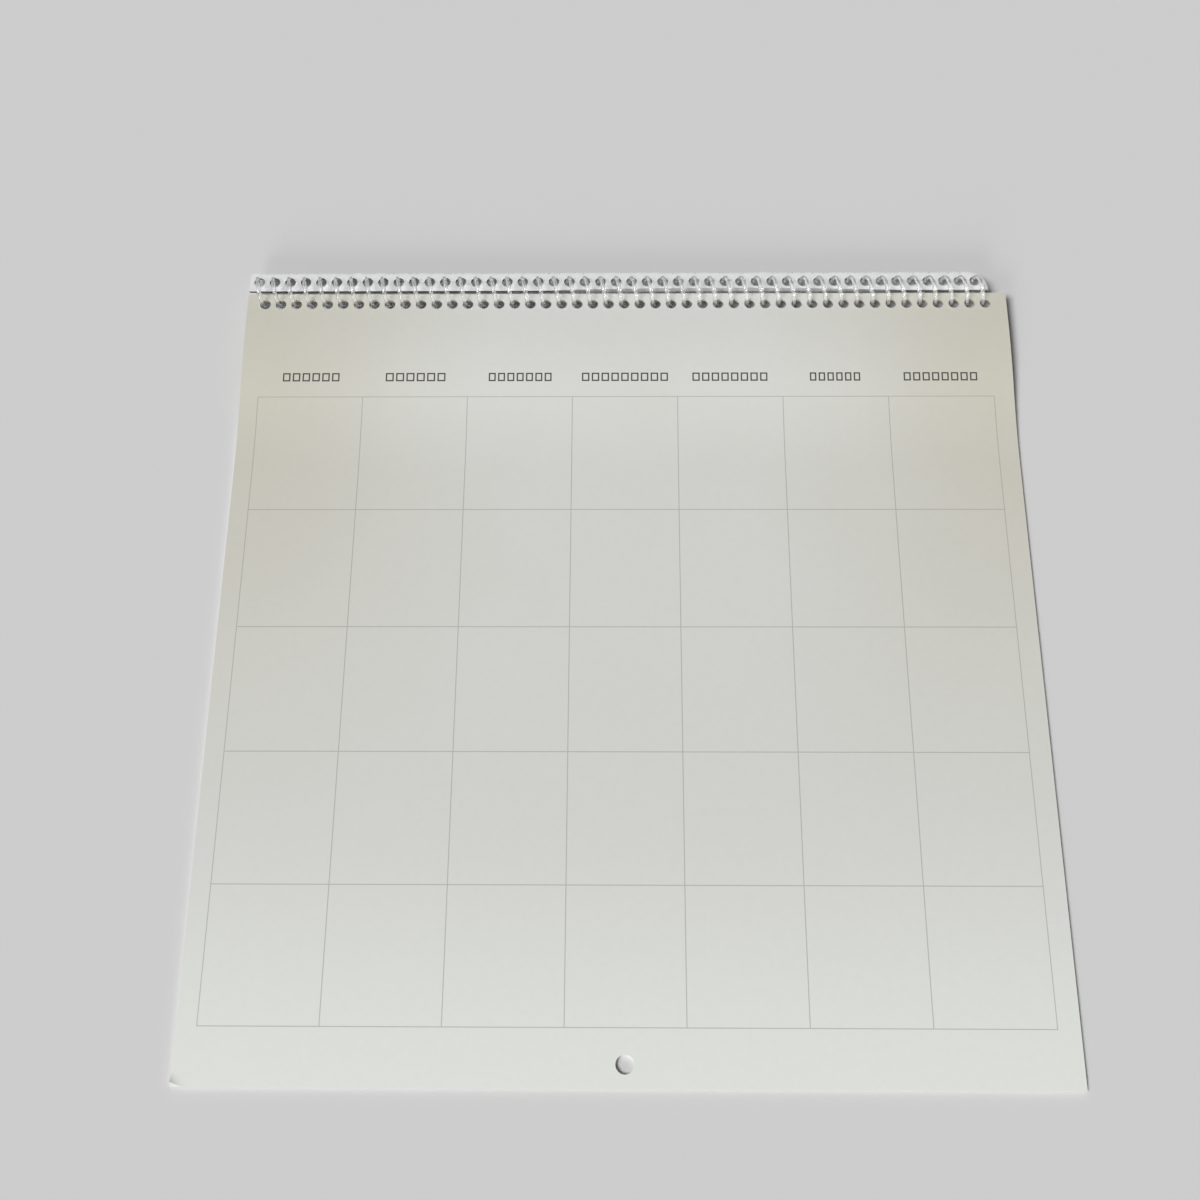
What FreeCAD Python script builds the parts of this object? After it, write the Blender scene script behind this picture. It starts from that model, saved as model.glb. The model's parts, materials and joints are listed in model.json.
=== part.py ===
import FreeCAD, Part
import math
import os

# A wall calendar lying open on its back, bound with a clear plastic coil along its top edge.
# Millimetres. +X runs along the coil, +Y from the pages to the coil, +Z up from the table.
# The origin is under the middle of the whole calendar, on the table.

# Pages
page_width = 304.8
page_height = 304.8
front_leaf_thickness = 0.2
block_thickness = 1.4
leaf_air = 0.1

# Coil
coil_radius = 5.5
filament_diameter = 1.6
coil_pitch = 6.2865
runs_per_turn = 14
filament_sides = 8

# Punched rows
hole_play = 1.35
least_end_margin = 7.2
punch_shift = -0.6
leaf_edge_gap = 0.85
leaf_hole_outset = 0.15
leaf_strand_left = 0.82

# Stubs of the leaves that were torn off, turned over to the far side of the coil
stub_edge_gap = 0.25
stub_hole_inset = 0.75
stub_strand_left = 0.63
stub_depth = 9.15
stub_thickness = 1.5
tear_run = 7.9
tear_rise = 2.6
tear_step = 2.1
stub_short = 3.5

# The pages lie level past the holes and then sink to the table
level_past_holes = 3.1
sink_run = 65.0

# Hanging hole near the bottom edge
hang_hole_diameter = 6.35
hang_hole_up = 7.75

overshoot = 5.0

# The filament's bar has the area of the round one, and its corners stand a little further out
corner_share = math.sqrt(2 * math.pi / filament_sides / math.sin(2 * math.pi / filament_sides))
filament_corner = filament_diameter / 2 * corner_share
axis_z = coil_radius + filament_corner / math.cos(math.pi / runs_per_turn)
hole_radius = filament_diameter / 2 + hole_play
hole_count = int((page_width - 2 * least_end_margin) / coil_pitch) + 1
leaf_hole_y = -(coil_radius + leaf_hole_outset)
stub_hole_y = coil_radius - stub_hole_inset
leaf_edge_y = -leaf_edge_gap
level_end_y = leaf_hole_y - hole_radius - level_past_holes
first_leaf_hole_x = punch_shift - (hole_count - 1) * coil_pitch / 2
first_strand_x = first_leaf_hole_x - leaf_strand_left - coil_pitch / 2
first_stub_hole_x = first_strand_x + stub_strand_left

# Heights below the middle of the front leaf
leaf_half = front_leaf_thickness / 2
block_top = leaf_half + leaf_air
block_bottom = block_top + block_thickness
flat_z = block_bottom
sink = axis_z - flat_z
sink_angle = 2 * math.atan(sink / sink_run)
bend_radius = sink_run / (2 * math.sin(sink_angle))
sink_end_y = level_end_y - sink_run
sheet_left = page_height - (leaf_edge_y - level_end_y) - 2 * bend_radius * sink_angle
bottom_edge_y = sink_end_y - sheet_left

# The calendar is moved so that its middle lies over the origin
far_edge_y = stub_edge_gap + stub_depth
middle_y = (bottom_edge_y + far_edge_y) / 2


def at(y, z):
    return FreeCAD.Vector(0, y, z)


def sheet_line(depth):
    """The run of a sheet from the coil to its bottom edge, a depth below the front leaf's middle."""
    half = sink_angle / 2
    upper = bend_radius - depth
    lower = bend_radius + depth
    upper_centre = at(level_end_y, axis_z - bend_radius)
    lower_centre = at(sink_end_y, flat_z + bend_radius)
    start = at(leaf_edge_y, axis_z - depth)
    level_end = at(level_end_y, axis_z - depth)
    upper_mid = upper_centre + at(-math.sin(half), math.cos(half)) * upper
    turn = upper_centre + at(-math.sin(sink_angle), math.cos(sink_angle)) * upper
    lower_mid = lower_centre + at(math.sin(half), -math.cos(half)) * lower
    rest = at(sink_end_y, flat_z - depth)
    end = at(bottom_edge_y, flat_z - depth)
    return [
        Part.LineSegment(start, level_end).toShape(),
        Part.Arc(level_end, upper_mid, turn).toShape(),
        Part.Arc(turn, lower_mid, rest).toShape(),
        Part.LineSegment(rest, end).toShape(),
    ]


def sheet(top, bottom):
    """A sheet as wide as the page, from one depth to another, following the sink to the table."""
    upper = sheet_line(top)
    lower = sheet_line(bottom)
    near = Part.LineSegment(at(bottom_edge_y, flat_z - top), at(bottom_edge_y, flat_z - bottom)).toShape()
    far = Part.LineSegment(at(leaf_edge_y, axis_z - bottom), at(leaf_edge_y, axis_z - top)).toShape()
    outline = Part.Wire(Part.__sortEdges__(upper + [near] + lower + [far]))
    solid = Part.Face(outline).extrude(FreeCAD.Vector(page_width, 0, 0))
    solid.translate(FreeCAD.Vector(-page_width / 2, 0, 0))
    return solid


def strand_offset(depth, side):
    """How far the coil's strand has moved along X and Y at a depth below its axis."""
    angle = math.asin(depth / coil_radius)
    along = -side * coil_pitch * angle / (2 * math.pi)
    across = -side * coil_radius * (1 - math.cos(angle))
    return FreeCAD.Vector(along, across, -depth)


def punched_row(first_x, y, top, bottom, side):
    """One drill for each hole, leaning with the strand that runs through it."""
    upper = strand_offset(top, side)
    lower = strand_offset(bottom, side)
    lean = (lower - upper).normalize()
    length = (lower - upper).Length + 2 * overshoot
    drills = []
    for number in range(hole_count):
        start = FreeCAD.Vector(first_x + number * coil_pitch, y, axis_z) + upper - lean * overshoot
        drills.append(Part.makeCylinder(hole_radius, length, start, lean))
    return drills


def hang_hole():
    spot = FreeCAD.Vector(punch_shift, bottom_edge_y + hang_hole_up, -overshoot)
    return Part.makeCylinder(hang_hole_diameter / 2, 2 * overshoot + flat_z, spot)


def front_leaf():
    """The month leaf that shows, loose over the leaves below it."""
    leaf = sheet(-leaf_half, leaf_half)
    drills = punched_row(first_leaf_hole_x, leaf_hole_y, 0, leaf_half, -1)
    return leaf.cut(drills + [hang_hole()])


def leaf_block():
    """The leaves under the front one, as one stack."""
    block = sheet(block_top, block_bottom)
    drills = punched_row(first_leaf_hole_x, leaf_hole_y, block_top, block_bottom, -1)
    return block.cut(drills + [hang_hole()])


def torn_stubs():
    """The narrow bound edges of leaves torn off, cut back and slanting at their right end."""
    left = -page_width / 2
    right = page_width / 2 - stub_short
    near = stub_edge_gap
    far = stub_edge_gap + stub_depth
    top = axis_z + leaf_half
    corners = [
        (left, near),
        (right, near),
        (right - tear_step, near + tear_rise),
        (right - tear_step - tear_rise, near + tear_run),
        (right - 2 * tear_step - tear_rise, far),
        (left, far),
    ]
    points = [FreeCAD.Vector(x, y, top - stub_thickness) for x, y in corners]
    outline = Part.makePolygon(points + [points[0]])
    strip = Part.Face(outline).extrude(FreeCAD.Vector(0, 0, stub_thickness))
    return strip.cut(punched_row(first_stub_hole_x, stub_hole_y, 0, stub_thickness - leaf_half, 1))


def coil_line():
    """The coil's middle line, from under the axis up the far side and over, in short straight runs."""
    start_x = first_strand_x - coil_pitch / 4
    points = []
    for number in range(hole_count * runs_per_turn + 1):
        angle = 2 * math.pi * number / runs_per_turn - math.pi / 2
        y = coil_radius * math.cos(angle)
        z = axis_z + coil_radius * math.sin(angle)
        points.append(FreeCAD.Vector(start_x + coil_pitch * number / runs_per_turn, y, z))
    return points


def spiral_coil():
    """A right-handed coil, one turn to each pair of holes, its filament an even-sided bar."""
    points = coil_line()
    run = (points[1] - points[0]).normalize()
    across = FreeCAD.Vector(1, 0, 0).cross(run).normalize()
    upright = run.cross(across)
    corners = []
    for number in range(filament_sides + 1):
        angle = 2 * math.pi * number / filament_sides
        corners.append(points[0] + (across * math.cos(angle) + upright * math.sin(angle)) * filament_corner)
    mitred = 1
    return Part.makePolygon(points).makePipeShell([Part.makePolygon(corners)], True, False, mitred)


def save(name, shape):
    shape.translate(FreeCAD.Vector(0, -middle_y, 0))
    shape.exportStep(os.path.join("parts", name + ".step"))
    box = shape.BoundBox
    spans = [f"{low:.2f}..{high:.2f}" for low, high in
             ((box.XMin, box.XMax), (box.YMin, box.YMax), (box.ZMin, box.ZMax))]
    print(name, shape.isValid(), len(shape.Solids), round(shape.Volume, 1), *spans)


os.makedirs("parts", exist_ok=True)
save("front_leaf", front_leaf())
save("leaf_block", leaf_block())
save("torn_stubs", torn_stubs())
save("spiral_coil", spiral_coil())
print("coil axis y", round(-middle_y, 4), "z", round(axis_z, 4), "holes", hole_count)
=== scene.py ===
import json
import math
import random

import bmesh
import bpy
from mathutils import Matrix, Vector


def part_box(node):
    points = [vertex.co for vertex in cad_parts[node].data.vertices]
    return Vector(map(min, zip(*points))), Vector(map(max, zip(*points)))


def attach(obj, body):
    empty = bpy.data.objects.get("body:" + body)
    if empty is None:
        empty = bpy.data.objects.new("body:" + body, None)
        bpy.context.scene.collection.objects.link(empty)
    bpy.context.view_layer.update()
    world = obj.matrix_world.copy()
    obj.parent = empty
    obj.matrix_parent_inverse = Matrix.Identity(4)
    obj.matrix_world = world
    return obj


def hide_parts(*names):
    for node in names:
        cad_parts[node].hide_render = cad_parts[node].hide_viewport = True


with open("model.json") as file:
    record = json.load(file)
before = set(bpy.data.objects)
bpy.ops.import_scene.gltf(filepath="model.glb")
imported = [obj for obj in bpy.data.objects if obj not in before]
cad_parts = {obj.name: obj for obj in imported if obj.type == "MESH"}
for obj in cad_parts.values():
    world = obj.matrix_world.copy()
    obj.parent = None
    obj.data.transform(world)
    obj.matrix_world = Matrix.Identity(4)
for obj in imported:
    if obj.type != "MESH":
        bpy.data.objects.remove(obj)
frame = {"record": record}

bl_info = {
    "name": "Coil Bound Wall Calendar",
    "version": (1, 0, 0),
    "blender": (4, 5, 0),
    "location": "View3D > Sidebar > Calendar",
    "description": "A wall calendar lying open: month leaf, leaves, torn stubs and clear coil",
    "category": "Object",
}

MM = 0.001
LEAF_LOW, LEAF_HIGH = (Vector(corner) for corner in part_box("front_leaf"))
STUB_LOW, STUB_HIGH = (Vector(corner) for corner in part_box("torn_stubs"))
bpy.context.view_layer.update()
HINGE = next(joint for joint in frame["record"]["behaviour"]["joints"] if joint["type"] == "hinge")
AXIS = Vector(HINGE["pos_m"])


# Sizes and colours that a user may change

class CalendarPages(bpy.types.PropertyGroup):
    """Sizes of the leaves, their punching and their print."""

    hole_pitch: bpy.props.FloatProperty(
        name="Hole pitch", description="From one punched hole to the next",
        default=6.2865 * MM, unit="LENGTH", precision=5)
    hole_count: bpy.props.IntProperty(
        name="Holes", description="Punched holes in each row", default=47, min=2)
    hole_radius: bpy.props.FloatProperty(
        name="Hole radius", description="Half the width of a punched hole",
        default=2.15 * MM, unit="LENGTH", precision=5)
    punch_shift: bpy.props.FloatProperty(
        name="Punch shift", description="How far the punching lies off the page's middle",
        default=-0.6 * MM, unit="LENGTH", precision=5)
    hole_from_axis: bpy.props.FloatProperty(
        name="Hole from axis", description="From the coil's axis to the leaves' holes",
        default=5.65 * MM, unit="LENGTH", precision=5)
    edge_from_axis: bpy.props.FloatProperty(
        name="Edge from axis", description="From the coil's axis to the leaves' top edge",
        default=0.85 * MM, unit="LENGTH", precision=5)
    level_run: bpy.props.FloatProperty(
        name="Level run", description="From the coil's axis to where the leaves start to sink",
        default=10.9 * MM, unit="LENGTH", precision=5)
    sink_run: bpy.props.FloatProperty(
        name="Sink run", description="Length over which the leaves sink to the table",
        default=65.0 * MM, unit="LENGTH", precision=5)
    paper: bpy.props.FloatProperty(
        name="Paper", description="Thickness of one leaf",
        default=0.2 * MM, unit="LENGTH", precision=5)
    under_leaves: bpy.props.IntProperty(
        name="Leaves below", description="Leaves under the month leaf", default=7, min=1)
    hang_radius: bpy.props.FloatProperty(
        name="Hanging hole radius", description="Half the width of the hanging hole",
        default=3.175 * MM, unit="LENGTH", precision=5)
    hang_up: bpy.props.FloatProperty(
        name="Hanging hole height",
        description="From the bottom edge to the hanging hole's middle",
        default=7.75 * MM, unit="LENGTH", precision=5)
    curl_reach: bpy.props.FloatProperty(
        name="Curl reach",
        description="Along each edge, from the bottom left corner to where it curls up",
        default=5.0 * MM, unit="LENGTH", precision=5)
    curl_back: bpy.props.FloatProperty(
        name="Curl back",
        description="How far the curled corner has drawn back from the bottom edge",
        default=1.65 * MM, unit="LENGTH", precision=5)
    curl_lift: bpy.props.FloatProperty(
        name="Curl lift", description="How far the curled corner stands up",
        default=0.7 * MM, unit="LENGTH", precision=5)
    grid_left: bpy.props.FloatProperty(
        name="Grid left", description="X of the printed grid's left line",
        default=-145.28 * MM, unit="LENGTH", precision=5)
    grid_low: bpy.props.FloatProperty(
        name="Grid low", description="Y of the printed grid's lowest line",
        default=-137.76 * MM, unit="LENGTH", precision=5)
    day_width: bpy.props.FloatProperty(
        name="Day width", description="Width of one printed day",
        default=41.41 * MM, unit="LENGTH", precision=5)
    week_height: bpy.props.FloatProperty(
        name="Week height", description="Height of one printed week",
        default=47.9 * MM, unit="LENGTH", precision=5)
    line_width: bpy.props.FloatProperty(
        name="Line width", description="Width of the printed lines",
        default=0.34 * MM, unit="LENGTH", precision=5)
    paper_colour: bpy.props.FloatVectorProperty(
        name="Paper", description="Colour of the leaves at their bottom edge",
        size=3, subtype="COLOR", default=(0.782, 0.805, 0.757), min=0, max=1)
    # Painted shade: the leaves are painted darker from the bottom edge up towards the coil.
    upper_shade_colour: bpy.props.FloatVectorProperty(
        name="Painted upper shade", description="Colour of the leaves towards the coil",
        size=3, subtype="COLOR", default=(0.673, 0.673, 0.643), min=0, max=1)
    # Painted shade: the leaves' upper corners are painted darker and warmer.
    corner_shade_colour: bpy.props.FloatVectorProperty(
        name="Painted corner shade", description="Colour of the leaves' upper corners",
        size=3, subtype="COLOR", default=(0.598, 0.583, 0.502), min=0, max=1)
    # Painted highlight: the leaves' cut edges are painted lighter than the paper.
    edge_highlight_colour: bpy.props.FloatVectorProperty(
        name="Painted edge highlight", description="Colour of the leaves' outer cut edges",
        size=3, subtype="COLOR", default=(0.90, 0.90, 0.88), min=0, max=1)
    line_colour: bpy.props.FloatVectorProperty(
        name="Lines", description="Colour of the printed lines",
        size=3, subtype="COLOR", default=(0.32, 0.32, 0.30), min=0, max=1)
    ink_colour: bpy.props.FloatVectorProperty(
        name="Ink", description="Colour of the marks over the days",
        size=3, subtype="COLOR", default=(0.07, 0.07, 0.065), min=0, max=1)


class CalendarCoil(bpy.types.PropertyGroup):
    """Sizes of the coil and of the stubs on it."""

    radius: bpy.props.FloatProperty(
        name="Coil radius", description="From the coil's axis to the middle of its filament",
        default=5.5 * MM, unit="LENGTH", precision=5)
    filament: bpy.props.FloatProperty(
        name="Filament radius", description="Half the thickness of the filament",
        default=0.8 * MM, unit="LENGTH", precision=5)
    strand_left: bpy.props.FloatProperty(
        name="Strand left", description="How far the strand runs left of the leaves' holes",
        default=0.82 * MM, unit="LENGTH", precision=5)
    stub_hole_right: bpy.props.FloatProperty(
        name="Stub hole right", description="How far the stubs' holes lie right of the strand",
        default=0.63 * MM, unit="LENGTH", precision=5)
    stub_hole_from_axis: bpy.props.FloatProperty(
        name="Stub hole from axis", description="From the coil's axis to the stubs' holes",
        default=4.75 * MM, unit="LENGTH", precision=5)
    stubs: bpy.props.IntProperty(
        name="Stubs", description="Bound edges of leaves torn off", default=7, min=1)
    tear_depth: bpy.props.FloatProperty(
        name="Tear depth", description="How deep the torn edge's teeth are",
        default=0.8 * MM, unit="LENGTH", precision=5)
    stagger: bpy.props.FloatProperty(
        name="Stagger",
        description="How far the lowest stub has slipped from the coil at the left end",
        default=0.3 * MM, unit="LENGTH", precision=5)
    recess: bpy.props.FloatProperty(
        name="Recess",
        description="How far the top stub's near edge stands back, at most, right of the middle",
        default=1.15 * MM, unit="LENGTH", precision=5)
    set_back: bpy.props.FloatProperty(
        name="Set back", description="How far the stubs' near edges stand back all along",
        default=0.4 * MM, unit="LENGTH", precision=5)
    stub_end: bpy.props.FloatProperty(
        name="Stub end", description="X where the stubs' torn right end meets their near edge",
        default=145.8 * MM, unit="LENGTH", precision=5)
    stub_colour: bpy.props.FloatVectorProperty(
        name="Stub paper", description="Colour of the stubs",
        size=3, subtype="COLOR", default=(0.73, 0.735, 0.735), min=0, max=1)
    # Painted shade: the stubs' cut edges and hole walls are painted dark, for the shade in the gap
    # and holes.
    stub_edge_shade_colour: bpy.props.FloatVectorProperty(
        name="Painted stub edge shade", description="Colour of the stubs' cut edges, seen as a stack",
        size=3, subtype="COLOR", default=(0.15, 0.148, 0.143), min=0, max=1)
    plastic: bpy.props.FloatVectorProperty(
        name="Plastic", description="Tint of the clear coil",
        size=3, subtype="COLOR", default=(0.96, 0.97, 0.965), min=0, max=1)
    clearness: bpy.props.FloatProperty(
        name="Clearness", description="Share of the light that the plastic bends and lets through",
        default=0.84, min=0, max=1)
    shadow_clearness: bpy.props.FloatProperty(
        name="Shadow clearness",
        description="Share of the lamps' light that each wall of the plastic passes on",
        default=0.6, min=0, max=1)
    # Painted reflection: a dark tint at the coil's edges, for the dark surroundings seen in the
    # plastic.
    painted_rim_colour: bpy.props.FloatVectorProperty(
        name="Painted dark rim", description="Tint of the clear coil where it is seen edge on",
        size=3, subtype="COLOR", default=(0.22, 0.225, 0.23), min=0, max=1)


class CalendarStage(bpy.types.PropertyGroup):
    """The floor, the lights and the camera."""

    floor_colour: bpy.props.FloatVectorProperty(
        name="Floor", description="Colour of the floor", size=3, subtype="COLOR",
        default=(0.655, 0.655, 0.655), min=0, max=1)
    key_strength: bpy.props.FloatProperty(
        name="Main light", description="Strength of the main light from the left",
        default=2.62, min=0)
    key_from: bpy.props.FloatVectorProperty(
        name="Main light from", description="Where the main light comes from",
        size=3, subtype="XYZ", default=(-1.75, -1.05, 3.0), unit="LENGTH")
    key_spread: bpy.props.FloatProperty(
        name="Main light's spread", description="How wide the main light's source looks",
        default=math.radians(24), subtype="ANGLE")
    low_strength: bpy.props.FloatProperty(
        name="Low light", description="Strength of the low light from the near left",
        default=1.05, min=0)
    low_from: bpy.props.FloatVectorProperty(
        name="Low light from", description="Where the low light comes from",
        size=3, subtype="XYZ", default=(-0.9, -2.6, 1.0), unit="LENGTH")
    low_spread: bpy.props.FloatProperty(
        name="Low light's spread", description="How wide the low light's source looks",
        default=math.radians(20), subtype="ANGLE")
    room: bpy.props.FloatProperty(
        name="Room", description="Strength of the plain light from all round",
        default=0.12, min=0)
    elevation: bpy.props.FloatProperty(
        name="Elevation", description="How steeply the camera looks down",
        default=math.radians(68.85), subtype="ANGLE")
    azimuth: bpy.props.FloatProperty(
        name="Azimuth", description="How far the camera stands round to the right",
        default=math.radians(2.123), subtype="ANGLE")
    roll: bpy.props.FloatProperty(
        name="Roll", description="How far the camera is turned about its own line of sight",
        default=math.radians(-1.954), subtype="ANGLE")
    distance: bpy.props.FloatProperty(
        name="Distance", description="From the camera to the point that it looks at",
        default=554.6 * MM, unit="LENGTH")
    aim: bpy.props.FloatVectorProperty(
        name="Aim", description="The point that the camera looks at", size=3, subtype="XYZ",
        default=(-9.746 * MM, 16.62 * MM, 1.7 * MM), unit="LENGTH")
    lens: bpy.props.FloatProperty(
        name="Lens", description="Focal length on a 36 mm wide sensor, in millimetres",
        default=44.45)


# Laying a flat sheet along its run to the table

def sheet_run(pages):
    """Height of the flat part of a sheet, and the angle and radius of the bends down to it."""
    flat_z = LEAF_LOW.z + pages.paper / 2
    sink = AXIS.z - flat_z
    angle = 2 * math.atan(sink / pages.sink_run)
    return flat_z, angle, pages.sink_run / (2 * math.sin(angle))


def lay_point(pages, x, down, depth):
    """Where a point of a flat sheet comes to lie, down the page from the end of its level run."""
    flat_z, angle, bend = sheet_run(pages)
    arc = bend * angle
    start = AXIS.y - pages.level_run
    if down <= 0:
        return Vector((x, start - down, AXIS.z - depth))
    if down <= arc:
        turn = down / bend
        reach = bend - depth
        return Vector((x, start - math.sin(turn) * reach, AXIS.z - bend + math.cos(turn) * reach))
    if down <= 2 * arc:
        turn = (2 * arc - down) / bend
        reach = bend + depth
        end = start - pages.sink_run
        return Vector((x, end + math.sin(turn) * reach, flat_z + bend - math.cos(turn) * reach))
    end = start - pages.sink_run
    return Vector((x, end - (down - 2 * arc), flat_z - depth))


def page_down(pages):
    """Length of a sheet from the end of its level run to its bottom edge."""
    angle, bend = sheet_run(pages)[1:]
    end = AXIS.y - pages.level_run - pages.sink_run
    return 2 * bend * angle + end - LEAF_LOW.y


# Meshes

def open_edges(bm, test):
    """The border edges whose two ends both pass a test."""
    return [
        edge for edge in bm.edges
        if edge.is_boundary and all(test(vert.co) for vert in edge.verts)]


HOLE_CORNERS = 16


def punched_cell(bm, centre, hole, half, near, far):
    """A rectangle round one punched hole, from two rings of as many corners."""
    ring, rim = (
        bmesh.ops.create_circle(bm, cap_ends=False, segments=HOLE_CORNERS, radius=radius)["verts"]
        for radius in (hole, 1.0))
    for vert in rim:
        reach = max(abs(vert.co.x), abs(vert.co.y))
        x, y = vert.co.x / reach, vert.co.y / reach
        vert.co = Vector((x * half, y * (far if y > 0 else near), 0))
    edges = list({edge for vert in ring + rim for edge in vert.link_edges})
    bmesh.ops.bridge_loops(bm, edges=edges)
    bmesh.ops.translate(bm, verts=ring + rim, vec=centre)


def punched_strip(bm, first_x, y, pages, near, far):
    """A strip of cells, one to each hole, out to both sides of the page."""
    half = pages.hole_pitch / 2
    punched_cell(bm, Vector((first_x, y, 0)), pages.hole_radius, half, near, far)
    cell = bm.verts[:] + bm.edges[:] + bm.faces[:]
    for number in range(1, pages.hole_count):
        made = bmesh.ops.duplicate(bm, geom=cell)["geom"]
        verts = [item for item in made if isinstance(item, bmesh.types.BMVert)]
        bmesh.ops.translate(bm, verts=verts, vec=Vector((number * pages.hole_pitch, 0, 0)))
    bmesh.ops.remove_doubles(bm, verts=bm.verts[:], dist=0.01 * MM)
    last_x = first_x + (pages.hole_count - 1) * pages.hole_pitch
    slack = 0.02 * MM
    for end_x, side_x in ((first_x - half, -LEAF_HIGH.x), (last_x + half, LEAF_HIGH.x)):
        side_run = Vector((side_x - end_x, 0, 0))
        extrude_border(bm, lambda co: abs(co.x - end_x) < slack, side_run)


def extrude_border(bm, test, move):
    """Draws the border edges that pass a test out by one step."""
    made = bmesh.ops.extrude_edge_only(bm, edges=open_edges(bm, test))["geom"]
    verts = [item for item in made if isinstance(item, bmesh.types.BMVert)]
    bmesh.ops.translate(bm, verts=verts, vec=move)


# Rows of faces down the sink to the table and down the flat part after it
FINE_ROWS = (20, 44)
COARSE_ROWS = (8, 6)


def flat_leaf(pages, coarse):
    """A punched leaf, flat, with y running down from the end of its level run as a minus."""
    bm = bmesh.new()
    near = pages.level_run - pages.hole_from_axis
    far = pages.hole_from_axis - pages.edge_from_axis
    first_x = pages.punch_shift - (pages.hole_count - 1) * pages.hole_pitch / 2
    punched_strip(bm, first_x, near, pages, near, far)
    down = page_down(pages)
    angle, bend = sheet_run(pages)[1:]
    sink = 2 * bend * angle
    hang = down - pages.hang_up
    corner_turn = math.tan(math.radians(22.5))
    half = pages.hole_pitch / 2
    square = pages.hole_pitch - half * corner_turn
    ring_steps = [-square, -half, -half * corner_turn, 0, half * corner_turn, half, square]
    sink_rows, flat_rows = COARSE_ROWS if coarse else FINE_ROWS
    stops = [sink * (row + 1) / sink_rows for row in range(sink_rows)]
    flat = hang - square - sink
    stops += [sink + flat * (row + 1) / flat_rows for row in range(flat_rows)]
    stops += [hang + step for step in ring_steps[1:]]
    stops += [(hang + square + down) / 2, down]
    at = 0.0
    slack = 0.01 * MM
    for stop in stops:
        extrude_border(bm, lambda co: abs(co.y + at) < slack, Vector((0, at - stop, 0)))
        at = stop
    pierce_hang_hole(bm, pages, hang, square)
    return bm


def pierce_hang_hole(bm, pages, hang, square):
    """Swaps the faces round the hanging hole for a ring that ends in the round hole."""
    middle = Vector((pages.punch_shift, -hang, 0))
    slack = 0.05 * MM
    inside = []
    for face in bm.faces:
        offset = face.calc_center_median() - middle
        if max(abs(offset.x), abs(offset.y)) < square + slack:
            inside.append(face)
    bmesh.ops.delete(bm, geom=inside, context="FACES")

    def on_square(co):
        return max(abs(co.x - middle.x), abs(co.y - middle.y)) < square + slack

    outer = open_edges(bm, on_square)
    ring = bmesh.ops.create_circle(
        bm, cap_ends=False, segments=len(outer), radius=pages.hang_radius)["verts"]
    bmesh.ops.translate(bm, verts=ring, vec=middle)
    inner = list({edge for vert in ring for edge in vert.link_edges})
    bmesh.ops.bridge_loops(bm, edges=outer + inner)


def thicken(bm, thickness):
    """Gives a sheet its thickness, half to each side."""
    bmesh.ops.recalc_face_normals(bm, faces=bm.faces[:])
    if sum(face.normal.z for face in bm.faces) < 0:
        bmesh.ops.reverse_faces(bm, faces=bm.faces[:])
    bmesh.ops.solidify(bm, geom=bm.faces[:], thickness=thickness)
    bmesh.ops.recalc_face_normals(bm, faces=bm.faces[:])


def finish_piece(bm, name, materials, body, nodes, sharp=30.0):
    """Turns a bmesh into a piece that rides on a body and stands for its CAD nodes."""
    mesh = bpy.data.meshes.new(name)
    bm.to_mesh(mesh)
    bm.free()
    mesh.shade_smooth()
    mesh.set_sharp_from_angle(angle=math.radians(sharp))
    for material in materials:
        mesh.materials.append(material)
    piece = bpy.data.objects.new(name, mesh)
    bpy.context.scene.collection.objects.link(piece)
    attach(piece, body)
    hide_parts(*nodes)


# Materials

def new_material(name):
    """An empty material with its shader and the piece's own coordinates."""
    material = bpy.data.materials.new(name)
    material.use_nodes = True
    nodes = material.node_tree.nodes
    shader = nodes["Principled BSDF"]
    place = nodes.new("ShaderNodeTexCoord")
    return material, material.node_tree, shader, place.outputs["Object"]


def maths(tree, operation, first, second=None, third=None):
    """One Math node, fed by sockets or plain numbers."""
    node = tree.nodes.new("ShaderNodeMath")
    node.operation = operation
    for socket, value in zip(node.inputs, (first, second, third)):
        if value is None:
            continue
        if isinstance(value, (int, float)):
            socket.default_value = value
        else:
            tree.links.new(value, socket)
    return node.outputs[0]


def blend_colour(tree, share, first, second):
    """Mixes two colours by a share from 0 to 1."""
    node = tree.nodes.new("ShaderNodeMix")
    node.data_type = "RGBA"
    share_socket, first_socket, second_socket = node.inputs[0], node.inputs[6], node.inputs[7]
    tree.links.new(share, share_socket)
    for socket, value in ((first_socket, first), (second_socket, second)):
        if hasattr(value, "is_output"):
            tree.links.new(value, socket)
        else:
            socket.default_value = (*value, 1.0)
    return node.outputs[2]


def smooth_rise(tree, value, low, high):
    """A share that rises smoothly from 0 at one value to 1 at another."""
    node = tree.nodes.new("ShaderNodeMapRange")
    node.interpolation_type = "SMOOTHSTEP"
    node.inputs["From Min"].default_value = low
    node.inputs["From Max"].default_value = high
    tree.links.new(value, node.inputs["Value"])
    return node.outputs["Result"]


def noise(tree, place, scale, detail):
    """The grey value of one noise texture."""
    node = tree.nodes.new("ShaderNodeTexNoise")
    node.inputs["Scale"].default_value = scale
    node.inputs["Detail"].default_value = detail
    tree.links.new(place, node.inputs["Vector"])
    return node.outputs["Fac"]


# The paper's colour drifts up from the bottom edge to a painted shade towards the coil, then out
# from the page's middle line and up the page to a darker, warmer painted shade in the upper
# corners. These are the places where each drift starts and ends.
UPPER_SHADE_DRIFT = (LEAF_LOW.y - 18 * MM, LEAF_LOW.y + 107 * MM)
SIDE_DRIFT = (40 * MM, LEAF_HIGH.x)
CORNER_SHADE_DRIFT = (-90 * MM, 110 * MM)
CLOUD_SCALE, SPECK_SCALE, FIBRE_SCALE = 14.0, 420.0, 2200.0
FIBRE_HEIGHT = 0.004 * MM


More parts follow.
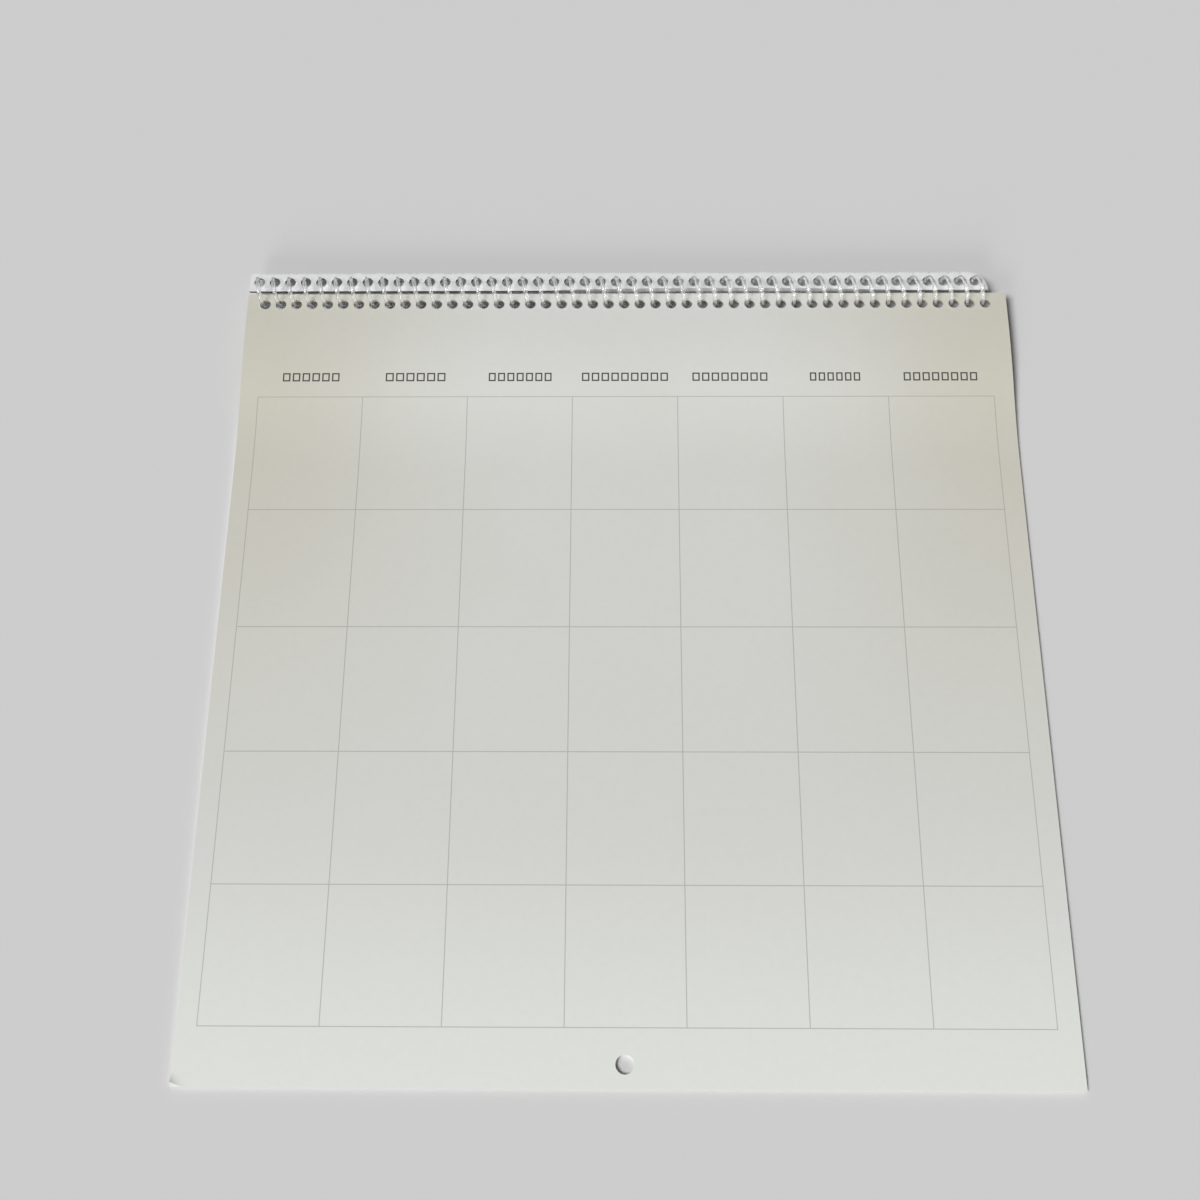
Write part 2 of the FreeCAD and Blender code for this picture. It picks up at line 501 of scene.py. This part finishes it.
def paper_group():
    """Paper seen close: painted shade up the page and in the upper corners, a faint mottle,
    fibres' height.
    """
    name = "PaperSurface"
    if name in bpy.data.node_groups:
        return bpy.data.node_groups[name]
    group = bpy.data.node_groups.new(name, "ShaderNodeTree")
    face = group.interface
    face.new_socket("Place", in_out="INPUT", socket_type="NodeSocketVector")
    for colour in ("Paper", "Upper", "Aged"):
        face.new_socket(colour, in_out="INPUT", socket_type="NodeSocketColor")
    face.new_socket("Colour", in_out="OUTPUT", socket_type="NodeSocketColor")
    face.new_socket("Rough", in_out="OUTPUT", socket_type="NodeSocketFloat")
    face.new_socket("Height", in_out="OUTPUT", socket_type="NodeSocketFloat")
    start = group.nodes.new("NodeGroupInput")
    end = group.nodes.new("NodeGroupOutput")
    place = start.outputs["Place"]
    split = group.nodes.new("ShaderNodeSeparateXYZ")
    group.links.new(place, split.inputs[0])
    cloud = maths(group, "MULTIPLY_ADD", noise(group, place, CLOUD_SCALE, 2.0), 0.6, -0.3)

    y = split.outputs["Y"]
    # Painted shade, darker up the page towards the coil
    rise = smooth_rise(group, y, *UPPER_SHADE_DRIFT)
    base = blend_colour(group, rise, start.outputs["Paper"], start.outputs["Upper"])
    # Painted shade, darker and warmer in the upper corners, broken up by the cloud noise
    off_middle = maths(group, "ABSOLUTE", split.outputs["X"])
    sideways = smooth_rise(group, off_middle, *SIDE_DRIFT)
    upwards = smooth_rise(group, y, *CORNER_SHADE_DRIFT)
    corner = maths(group, "MULTIPLY", maths(group, "ADD", sideways, cloud), upwards)
    corner = maths(group, "MINIMUM", maths(group, "MAXIMUM", corner, 0.0), 1.0)
    base = blend_colour(group, corner, base, start.outputs["Aged"])

    speck = noise(group, place, SPECK_SCALE, 4.0)
    shade = group.nodes.new("ShaderNodeVectorMath")
    shade.operation = "SCALE"
    group.links.new(base, shade.inputs[0])
    group.links.new(maths(group, "MULTIPLY_ADD", speck, 0.05, 0.975), shade.inputs["Scale"])
    group.links.new(shade.outputs[0], end.inputs["Colour"])
    group.links.new(maths(group, "MULTIPLY_ADD", speck, 0.12, 0.6), end.inputs["Rough"])
    group.links.new(noise(group, place, FIBRE_SCALE, 3.0), end.inputs["Height"])
    return group


def paper_material(name, low, high, corner):
    """Uncoated paper, from the shared paper surface."""
    material, tree, shader, place = new_material(name)
    surface = tree.nodes.new("ShaderNodeGroup")
    surface.node_tree = paper_group()
    tree.links.new(place, surface.inputs["Place"])
    surface.inputs["Paper"].default_value = (*low, 1)
    # The upper and corner colours are painted shade
    surface.inputs["Upper"].default_value = (*high, 1)
    surface.inputs["Aged"].default_value = (*corner, 1)
    bump = tree.nodes.new("ShaderNodeBump")
    bump.inputs["Strength"].default_value = 0.35
    bump.inputs["Distance"].default_value = FIBRE_HEIGHT
    tree.links.new(surface.outputs["Height"], bump.inputs["Height"])
    tree.links.new(bump.outputs["Normal"], shader.inputs["Normal"])
    tree.links.new(surface.outputs["Colour"], shader.inputs["Base Color"])
    tree.links.new(surface.outputs["Rough"], shader.inputs["Roughness"])
    shader.inputs["Specular IOR Level"].default_value = 0.25
    return material, tree, shader, surface, place


def leaf_paper(name, pages):
    """Paper in the leaves' colours, painted shade towards the coil and in the upper corners
    included.
    """
    return paper_material(name, pages.paper_colour, pages.upper_shade_colour, pages.corner_shade_colour)


def even_paper(name, colour):
    """Paper in one colour all over."""
    return paper_material(name, colour, colour, colour)[0]


LINE_FADE = 0.05 * MM


def off_nearest(tree, value, first, step):
    """How far a value lies from the nearest of evenly spaced places."""
    turns = maths(tree, "DIVIDE", maths(tree, "SUBTRACT", value, first), step)
    away = maths(tree, "ABSOLUTE", maths(tree, "SUBTRACT", turns, maths(tree, "ROUND", turns)))
    return maths(tree, "MULTIPLY", away, step)


def soft_step(tree, distance, half):
    """1 within a distance and 0 beyond it, over a short fade."""
    node = tree.nodes.new("ShaderNodeMapRange")
    node.inputs["From Min"].default_value = half + LINE_FADE
    node.inputs["From Max"].default_value = half - LINE_FADE
    tree.links.new(distance, node.inputs["Value"])
    return node.outputs["Result"]


def within(tree, value, low, high):
    """1 where a value lies between two limits."""
    off_middle = maths(tree, "SUBTRACT", value, (low + high) / 2)
    return soft_step(tree, maths(tree, "ABSOLUTE", off_middle), (high - low) / 2)


DAYS, WEEKS = 7, 5


def grid_lines(tree, x, y, pages):
    """The mask of the printed grid."""
    half = pages.line_width / 2
    right = pages.grid_left + DAYS * pages.day_width
    high = pages.grid_low + WEEKS * pages.week_height
    across = soft_step(tree, off_nearest(tree, x, pages.grid_left, pages.day_width), half)
    along = soft_step(tree, off_nearest(tree, y, pages.grid_low, pages.week_height), half)
    inside = maths(
        tree, "MULTIPLY",
        within(tree, x, pages.grid_left - half, right + half),
        within(tree, y, pages.grid_low - half, high + half))
    return maths(tree, "MULTIPLY", maths(tree, "MAXIMUM", across, along), inside)


LINE_STRENGTH = 0.62


def month_material(pages):
    """The month leaf's printed side."""
    material, tree, shader, surface, place = leaf_paper("month_leaf_print", pages)
    split = tree.nodes.new("ShaderNodeSeparateXYZ")
    tree.links.new(place, split.inputs[0])
    x, y = split.outputs["X"], split.outputs["Y"]
    faint = maths(tree, "MULTIPLY", grid_lines(tree, x, y, pages), LINE_STRENGTH)
    colour = blend_colour(tree, faint, surface.outputs["Colour"], pages.line_colour)
    marks = day_marks(tree, x, y, pages)
    colour = blend_colour(tree, marks, colour, pages.ink_colour)
    tree.links.new(colour, shader.inputs["Base Color"])
    return material


# The mark over each column from the left: its width in millimetres, and how many boxes it holds
DAY_MARKS = ((22.5, 6), (23.7, 6), (24.9, 7), (34.0, 9), (29.6, 8), (19.8, 6), (28.9, 8))
MARK_HEIGHT = 3.5 * MM
MARK_LOW = 108.2 * MM
MARK_STROKE = 0.56 * MM
MARK_GAP = 0.9 * MM


def day_marks(tree, x, y, pages):
    """A plain row of small open boxes over each column of days."""
    total = None
    high = MARK_LOW + MARK_HEIGHT
    rows = within(tree, y, MARK_LOW, high)
    core = within(tree, y, MARK_LOW + MARK_STROKE, high - MARK_STROKE)
    for column, (width, boxes) in enumerate(DAY_MARKS):
        middle = pages.grid_left + (column + 0.5) * pages.day_width
        left, right = middle - width * MM / 2, middle + width * MM / 2
        step = (right - left + MARK_GAP) / boxes
        half = (step - MARK_GAP) / 2
        away = off_nearest(tree, x, left + half, step)
        solid = soft_step(tree, away, half)
        hollow = soft_step(tree, away, half - MARK_STROKE)
        box = maths(tree, "SUBTRACT", solid, maths(tree, "MULTIPLY", hollow, core))
        box = maths(tree, "MULTIPLY", box, within(tree, x, left, right))
        total = box if total is None else maths(tree, "MAXIMUM", total, box)
    return maths(tree, "MULTIPLY", total, rows)


# How far the coil's wall turns from the eye, from 0 to 1, where its painted dark rim starts and is
# full
PAINTED_RIM_RANGE = (0.35, 0.85)
SCRATCH_SCALE = 900.0


def coil_material(coil):
    """Clear glossy plastic with a painted dark rim where seen edge on, and a shadow as faint as
    clear plastic gives.
    """
    material, tree, shader, place = new_material("coil_clear_plastic")
    shader.inputs["Transmission Weight"].default_value = coil.clearness
    shader.inputs["IOR"].default_value = 1.49
    # Painted reflection: the tint darkens where the wall is seen edge on
    weight = tree.nodes.new("ShaderNodeLayerWeight")
    weight.inputs["Blend"].default_value = 0.5
    rim = smooth_rise(tree, weight.outputs["Facing"], *PAINTED_RIM_RANGE)
    tint = blend_colour(tree, rim, coil.plastic, coil.painted_rim_colour)
    tree.links.new(tint, shader.inputs["Base Color"])
    scratch = noise(tree, place, SCRATCH_SCALE, 2.0)
    rough = maths(tree, "MULTIPLY_ADD", scratch, 0.05, 0.02)
    tree.links.new(rough, shader.inputs["Roughness"])
    path = tree.nodes.new("ShaderNodeLightPath")
    through = tree.nodes.new("ShaderNodeBsdfTransparent")
    mix = tree.nodes.new("ShaderNodeMixShader")
    passed = maths(tree, "MULTIPLY", path.outputs["Is Shadow Ray"], coil.shadow_clearness)
    tree.links.new(passed, mix.inputs[0])
    tree.links.new(shader.outputs[0], mix.inputs[1])
    tree.links.new(through.outputs[0], mix.inputs[2])
    tree.links.new(mix.outputs[0], tree.nodes["Material Output"].inputs["Surface"])
    return material


# Operators

class CALENDAR_OT_month_leaf(bpy.types.Operator):
    """Makes the printed month leaf, with its curled corner"""

    bl_idname = "calendar.month_leaf"
    bl_label = "Month leaf"

    def execute(self, context):
        pages = context.scene.calendar_pages
        bm = flat_leaf(pages, coarse=False)
        down = page_down(pages)
        refine_corner(bm, pages, down)
        thicken(bm, pages.paper)
        top = {vert for face in bm.faces if face.normal.z > 0.5 for vert in face.verts}
        for face in bm.faces:
            face.material_index = 0 if face.normal.z > 0.5 else 1
        mark_outline(bm, pages, down, 2)
        for vert in bm.verts:
            depth = -pages.paper / 2 if vert in top else pages.paper / 2
            curl = corner_curl(pages, vert.co.x, -vert.co.y, down)
            vert.co = lay_point(pages, vert.co.x, -vert.co.y, depth) + curl
        papers = [
            month_material(pages),
            leaf_paper("leaf_plain", pages)[0],
            # The cut edges' material is a painted highlight
            even_paper("month_leaf_edge_highlight", pages.edge_highlight_colour)]
        finish_piece(
            bm, "month_leaf", papers, "turning_leaf", ["front_leaf"])
        return {"FINISHED"}


def mark_outline(bm, pages, down, slot):
    """Gives a flat leaf's outer cut edges, and those in its hanging hole, their own material: a
    painted highlight.
    """
    slack = 0.1 * MM
    hang = Vector((pages.punch_shift, pages.hang_up - down, 0))
    for face in bm.faces:
        middle = face.calc_center_median()
        on_side = abs(middle.x) > LEAF_HIGH.x - slack
        in_hole = (middle - hang).length < pages.hang_radius + slack
        if abs(face.normal.z) < 0.5 and (on_side or in_hole or -middle.y > down - slack):
            face.material_index = slot


def refine_corner(bm, pages, down):
    """Cuts the faces near the bottom left corner finer, so that they can curl."""

    def curls(vert):
        return (vert.co.x + LEAF_HIGH.x) + (down + vert.co.y) < pages.curl_reach

    for cuts in (3, 1):
        near = [face for face in bm.faces if any(curls(vert) for vert in face.verts)]
        edges = list({edge for face in near for edge in face.edges})
        bmesh.ops.subdivide_edges(bm, edges=edges, cuts=cuts, use_grid_fill=True)


CURL_SHARPNESS = 1.6


def corner_curl(pages, x, down_at, down):
    """How far a point near the bottom left corner moves up and inwards as the leaf curls."""
    along = max(0.0, 1 - (x + LEAF_HIGH.x) / pages.curl_reach)
    upwards = max(0.0, 1 - (down - down_at) / pages.curl_reach)
    share = along ** CURL_SHARPNESS * upwards
    return Vector((0, pages.curl_back * share, pages.curl_lift * share * upwards))


def strand_lean(pages, coil, depth):
    """How far the coil's strand has moved along and across the holes at a depth below its axis."""
    angle = math.asin(depth / coil.radius)
    return pages.hole_pitch * angle / (2 * math.pi), coil.radius * (1 - math.cos(angle))


# A leaf's share of its room in the stack, and the air between the month leaf and the stack
LEAF_SHARE = 0.86
LEAF_AIR = 0.1 * MM
# How far a leaf may slip sideways and fall short of the bottom edge, in millimetres
SIDE_SLIP = 0.1
LOW_TRIM = 0.2
# Leaves that fall short by no more than that, and how much more the others do
FULL_LEAVES = 5
SHORT_BY = 0.3 * MM
# How far the first leaf's top edge stands back, and each later one's from the one before it
TOP_TRIM, TOP_STEP = 0.15, 0.06


class CALENDAR_OT_under_leaves(bpy.types.Operator):
    """Makes the leaves under the month leaf, each a little out of line"""

    bl_idname = "calendar.under_leaves"
    bl_label = "Leaves below"

    def execute(self, context):
        pages, coil = context.scene.calendar_pages, context.scene.calendar_coil
        draw = random.Random(11)
        stack = bmesh.new()
        down = page_down(pages)
        top_edge = pages.level_run - pages.edge_from_axis
        for number in range(pages.under_leaves):
            bm = flat_leaf(pages, coarse=True)
            thicken(bm, pages.paper * LEAF_SHARE)
            mark_outline(bm, pages, down, 1)
            top = {vert for face in bm.faces if face.normal.z > 0.5 for vert in face.verts}
            middle = pages.paper * (number + 1) + LEAF_AIR
            sideways = draw.uniform(-SIDE_SLIP, SIDE_SLIP) * MM
            low_trim = draw.uniform(0.0, LOW_TRIM) * MM
            if number >= FULL_LEAVES:
                low_trim += SHORT_BY
            high_trim = (TOP_TRIM + TOP_STEP * number) * MM
            half = LEAF_SHARE / 2
            for vert in bm.verts:
                depth = middle + pages.paper * (-half if vert in top else half)
                in_row = 0.5 * MM < vert.co.y < top_edge - 0.1 * MM
                off_sides = abs(vert.co.x) < LEAF_HIGH.x - 1 * MM
                if in_row and off_sides:
                    lean, rise = strand_lean(pages, coil, depth)
                    vert.co += Vector((lean, rise, 0))
                down_at = max(min(-vert.co.y, down - low_trim), high_trim - top_edge)
                vert.co = lay_point(pages, vert.co.x + sideways, down_at, depth)
            append_mesh(stack, bm)
        papers = [
            leaf_paper("under_leaf_paper", pages)[0],
            # The cut edges' material is a painted highlight
            even_paper("under_leaf_edge_highlight", pages.edge_highlight_colour)]
        finish_piece(stack, "under_leaves", papers, "pages", ["leaf_block"])
        return {"FINISHED"}


def append_mesh(stack, bm):
    """Adds one bmesh to another and frees it."""
    mesh = bpy.data.meshes.new("part_of_stack")
    bm.to_mesh(mesh)
    bm.free()
    stack.from_mesh(mesh)
    bpy.data.meshes.remove(mesh)


# A stub's share of its room in the stack
STUB_SHARE = 0.8
# Where along the coil the near edges stand back most, how far from there they no longer do,
# and how much less of it there is towards the bottom of the stack
RECESS_MIDDLE = 38 * MM
RECESS_REACH = 72 * MM
RECESS_SLANT = 0.85


class CALENDAR_OT_torn_stubs(bpy.types.Operator):
    """Makes the bound edges of the leaves torn off, with their ragged far edge"""

    bl_idname = "calendar.torn_stubs"
    bl_label = "Torn stubs"

    def execute(self, context):
        pages, coil = context.scene.calendar_pages, context.scene.calendar_coil
        draw = random.Random(5)
        stack = bmesh.new()
        step = (STUB_HIGH.z - STUB_LOW.z) / coil.stubs
        for number in range(coil.stubs):
            bm = one_stub(pages, coil, draw)
            thicken(bm, step * STUB_SHARE)
            slip = coil.stagger * number / coil.stubs
            recess = coil.recess * (1 - RECESS_SLANT * number / coil.stubs)
            for vert in bm.verts:
                on_near_edge = vert.co.y < STUB_LOW.y + 0.05 * MM
                if on_near_edge:
                    bow = max(0.0, 1 - ((vert.co.x - RECESS_MIDDLE) / RECESS_REACH) ** 2)
                    vert.co.y += coil.set_back + recess * bow
                share = 0.5 - vert.co.x / (2 * LEAF_HIGH.x)
                vert.co.y = min(vert.co.y + slip * share, STUB_HIGH.y)
                vert.co.z += STUB_HIGH.z - step * (number + 0.5)
            append_mesh(stack, bm)
        # The cut edges and hole walls, every face that is no top or bottom, get the painted shade
        for face in stack.faces:
            face.material_index = 0 if abs(face.normal.z) > 0.5 else 1
        papers = [
            even_paper("stub_paper", coil.stub_colour),
            even_paper("stub_edges_painted_shade", coil.stub_edge_shade_colour)]
        finish_piece(stack, "torn_stub_stack", papers, "binding", ["torn_stubs"])
        return {"FINISHED"}


def one_stub(pages, coil, draw):
    """One flat stub: its row of holes, its ragged far edge and its torn right end."""
    pitch = pages.hole_pitch
    first_x = pages.punch_shift - (pages.hole_count - 1) * pitch / 2
    first_x += coil.stub_hole_right - coil.strand_left - pitch / 2
    hole_y = AXIS.y + coil.stub_hole_from_axis
    far_y = STUB_HIGH.y - coil.tear_depth
    bm = bmesh.new()
    punched_strip(bm, first_x, hole_y, pages, hole_y - STUB_LOW.y, far_y - hole_y)
    ragged_edge(bm, far_y, coil.tear_depth, draw)
    tear_end(bm, coil, draw)
    return bm


# The teeth of the torn far edge: two sizes, as shares of the tear's depth
TOOTH_SHARES = (0.6, 0.4)


def ragged_edge(bm, far_y, depth, draw):
    """Tears the far edge into teeth of uneven length, with shorter ones between them."""
    for share in TOOTH_SHARES:
        edges = open_edges(bm, lambda co: co.y > far_y - depth / 3)
        bmesh.ops.subdivide_edges(bm, edges=edges, cuts=1)
        for vert in bm.verts:
            if vert.is_boundary and vert.co.y > far_y - depth / 3:
                vert.co.y += draw.uniform(-0.25, 1) * (share * depth)


# The tear at the right end, from the near edge on: how many millimetres each run goes up, and
# at how many degrees. A stub's end is up to END_SLIP millimetres off.
TEAR_RUNS = ((2.6, 82), (2.3, 68), (1.8, 52), (1.2, 34), (0, 16))
END_SLIP = (-0.5, 0.3)


def tear_end(bm, coil, draw):
    """Cuts the right end as it was torn: steep at the coil, then leaning and rounded off."""
    slip = draw.uniform(*END_SLIP) * MM
    foot = Vector((coil.stub_end + slip, STUB_LOW.y, 0))
    for rise, lean in TEAR_RUNS:
        angle = math.radians(lean)
        normal = Vector((math.sin(angle), math.cos(angle), 0))
        geom = bm.verts[:] + bm.edges[:] + bm.faces[:]
        bmesh.ops.bisect_plane(bm, geom=geom, plane_co=foot, plane_no=normal, clear_outer=True)
        foot += Vector((-math.cos(angle), math.sin(angle), 0)) * (rise * MM / math.sin(angle))


FILAMENT_SIDES = 12
STEPS_PER_TURN = 32


class CALENDAR_OT_coil(bpy.types.Operator):
    """Makes the clear coil as one long spun filament"""

    bl_idname = "calendar.coil"
    bl_label = "Coil"

    def execute(self, context):
        pages, coil = context.scene.calendar_pages, context.scene.calendar_coil
        pitch = pages.hole_pitch
        first_strand = pages.punch_shift - (pages.hole_count - 1) * pitch / 2
        first_strand -= coil.strand_left + pitch / 2
        start = Vector((first_strand - pitch / 4, AXIS.y, AXIS.z - coil.radius))
        slope = math.atan(pitch / (2 * math.pi * coil.radius))
        bm = bmesh.new()
        ring = bmesh.ops.create_circle(
            bm, cap_ends=False, segments=FILAMENT_SIDES, radius=coil.filament)["verts"]
        turn = Matrix.Rotation(-slope, 3, "Z") @ Matrix.Rotation(math.radians(90), 3, "X")
        bmesh.ops.rotate(bm, verts=ring, cent=Vector(), matrix=turn)
        bmesh.ops.translate(bm, verts=ring, vec=start)
        bmesh.ops.spin(
            bm, geom=bm.verts[:] + bm.edges[:], cent=AXIS, axis=Vector((1, 0, 0)),
            dvec=Vector((pitch / STEPS_PER_TURN, 0, 0)), angle=2 * math.pi * pages.hole_count,
            steps=STEPS_PER_TURN * pages.hole_count, use_merge=False)
        bmesh.ops.holes_fill(bm, edges=[edge for edge in bm.edges if edge.is_boundary], sides=0)
        bmesh.ops.recalc_face_normals(bm, faces=bm.faces[:])
        finish_piece(
            bm, "clear_coil", [coil_material(coil)], "binding", ["spiral_coil"],
            sharp=50.0)
        return {"FINISHED"}


class CALENDAR_OT_stage(bpy.types.Operator):
    """Makes the floor, the lights and the camera"""

    bl_idname = "calendar.stage"
    bl_label = "Stage"

    def execute(self, context):
        stage = context.scene.calendar_stage
        context.scene.view_settings.view_transform = "Standard"
        make_floor(stage)
        make_light(stage, context.scene)
        make_camera(stage, context.scene)
        return {"FINISHED"}


FLOOR_REACH = 3.0


def make_floor(stage):
    """A plain pale floor."""
    bm = bmesh.new()
    bmesh.ops.create_grid(bm, x_segments=1, y_segments=1, size=FLOOR_REACH)
    mesh = bpy.data.meshes.new("floor")
    bm.to_mesh(mesh)
    bm.free()
    material = bpy.data.materials.new("floor_grey")
    material.use_nodes = True
    shader = material.node_tree.nodes["Principled BSDF"]
    shader.inputs["Base Color"].default_value = (*stage.floor_colour, 1)
    shader.inputs["Roughness"].default_value = 0.9
    shader.inputs["Specular IOR Level"].default_value = 0.1
    mesh.materials.append(material)
    floor = bpy.data.objects.new("floor", mesh)
    bpy.context.scene.collection.objects.link(floor)


def add_light(scene, name, strength, spread, place):
    """One soft light that falls evenly on the calendar from the direction of a place."""
    lamp = bpy.data.lights.new(name, "SUN")
    lamp.energy = strength
    lamp.angle = spread
    holder = bpy.data.objects.new(name, lamp)
    holder.location = place
    holder.rotation_euler = (-place).to_track_quat("-Z", "Y").to_euler()
    scene.collection.objects.link(holder)


def make_light(stage, scene):
    """The main light from the left, a low one from near by, and a faint light from all round."""
    add_light(scene, "main_light", stage.key_strength, stage.key_spread, Vector(stage.key_from))
    add_light(scene, "low_light", stage.low_strength, stage.low_spread, Vector(stage.low_from))
    world = bpy.data.worlds.new("plain_room")
    world.use_nodes = True
    ground = world.node_tree.nodes["Background"]
    ground.inputs["Color"].default_value = (1, 1, 1, 1)
    ground.inputs["Strength"].default_value = stage.room
    scene.world = world


def make_camera(stage, scene):
    """The camera, at the place that the printed grid's perspective gives."""
    back = Vector((
        math.sin(stage.azimuth) * math.cos(stage.elevation),
        -math.cos(stage.azimuth) * math.cos(stage.elevation),
        math.sin(stage.elevation)))
    right = Vector((math.cos(stage.azimuth), math.sin(stage.azimuth), 0))
    up = back.cross(right)
    turned_right = right * math.cos(stage.roll) + up * math.sin(stage.roll)
    turned_up = up * math.cos(stage.roll) - right * math.sin(stage.roll)
    camera = bpy.data.cameras.new("camera")
    camera.lens = stage.lens
    camera.sensor_width = 36.0
    camera.clip_start = 0.01
    holder = bpy.data.objects.new("camera", camera)
    turn = Matrix((turned_right, turned_up, back)).transposed().to_4x4()
    holder.matrix_world = Matrix.Translation(Vector(stage.aim) + back * stage.distance) @ turn
    scene.collection.objects.link(holder)
    scene.camera = holder


class CALENDAR_PT_panel(bpy.types.Panel):
    """Lists the calendar's pieces"""

    bl_label = "Calendar"
    bl_idname = "CALENDAR_PT_panel"
    bl_space_type = "VIEW_3D"
    bl_region_type = "UI"
    bl_category = "Calendar"

    def draw(self, context):
        for operator in OPERATORS:
            self.layout.operator(operator.bl_idname)


OPERATORS = (
    CALENDAR_OT_month_leaf,
    CALENDAR_OT_under_leaves,
    CALENDAR_OT_torn_stubs,
    CALENDAR_OT_coil,
    CALENDAR_OT_stage,
)
GROUPS = (CalendarPages, CalendarCoil, CalendarStage)


def register():
    for item in (*GROUPS, *OPERATORS, CALENDAR_PT_panel):
        bpy.utils.register_class(item)
    bpy.types.Scene.calendar_pages = bpy.props.PointerProperty(type=CalendarPages)
    bpy.types.Scene.calendar_coil = bpy.props.PointerProperty(type=CalendarCoil)
    bpy.types.Scene.calendar_stage = bpy.props.PointerProperty(type=CalendarStage)


def unregister():
    del bpy.types.Scene.calendar_pages
    del bpy.types.Scene.calendar_coil
    del bpy.types.Scene.calendar_stage
    for item in reversed((*GROUPS, *OPERATORS, CALENDAR_PT_panel)):
        bpy.utils.unregister_class(item)


def main():
    register()
    bpy.ops.calendar.stage()
    bpy.ops.calendar.month_leaf()
    bpy.ops.calendar.under_leaves()
    bpy.ops.calendar.torn_stubs()
    bpy.ops.calendar.coil()


if __name__ == "__main__":
    main()
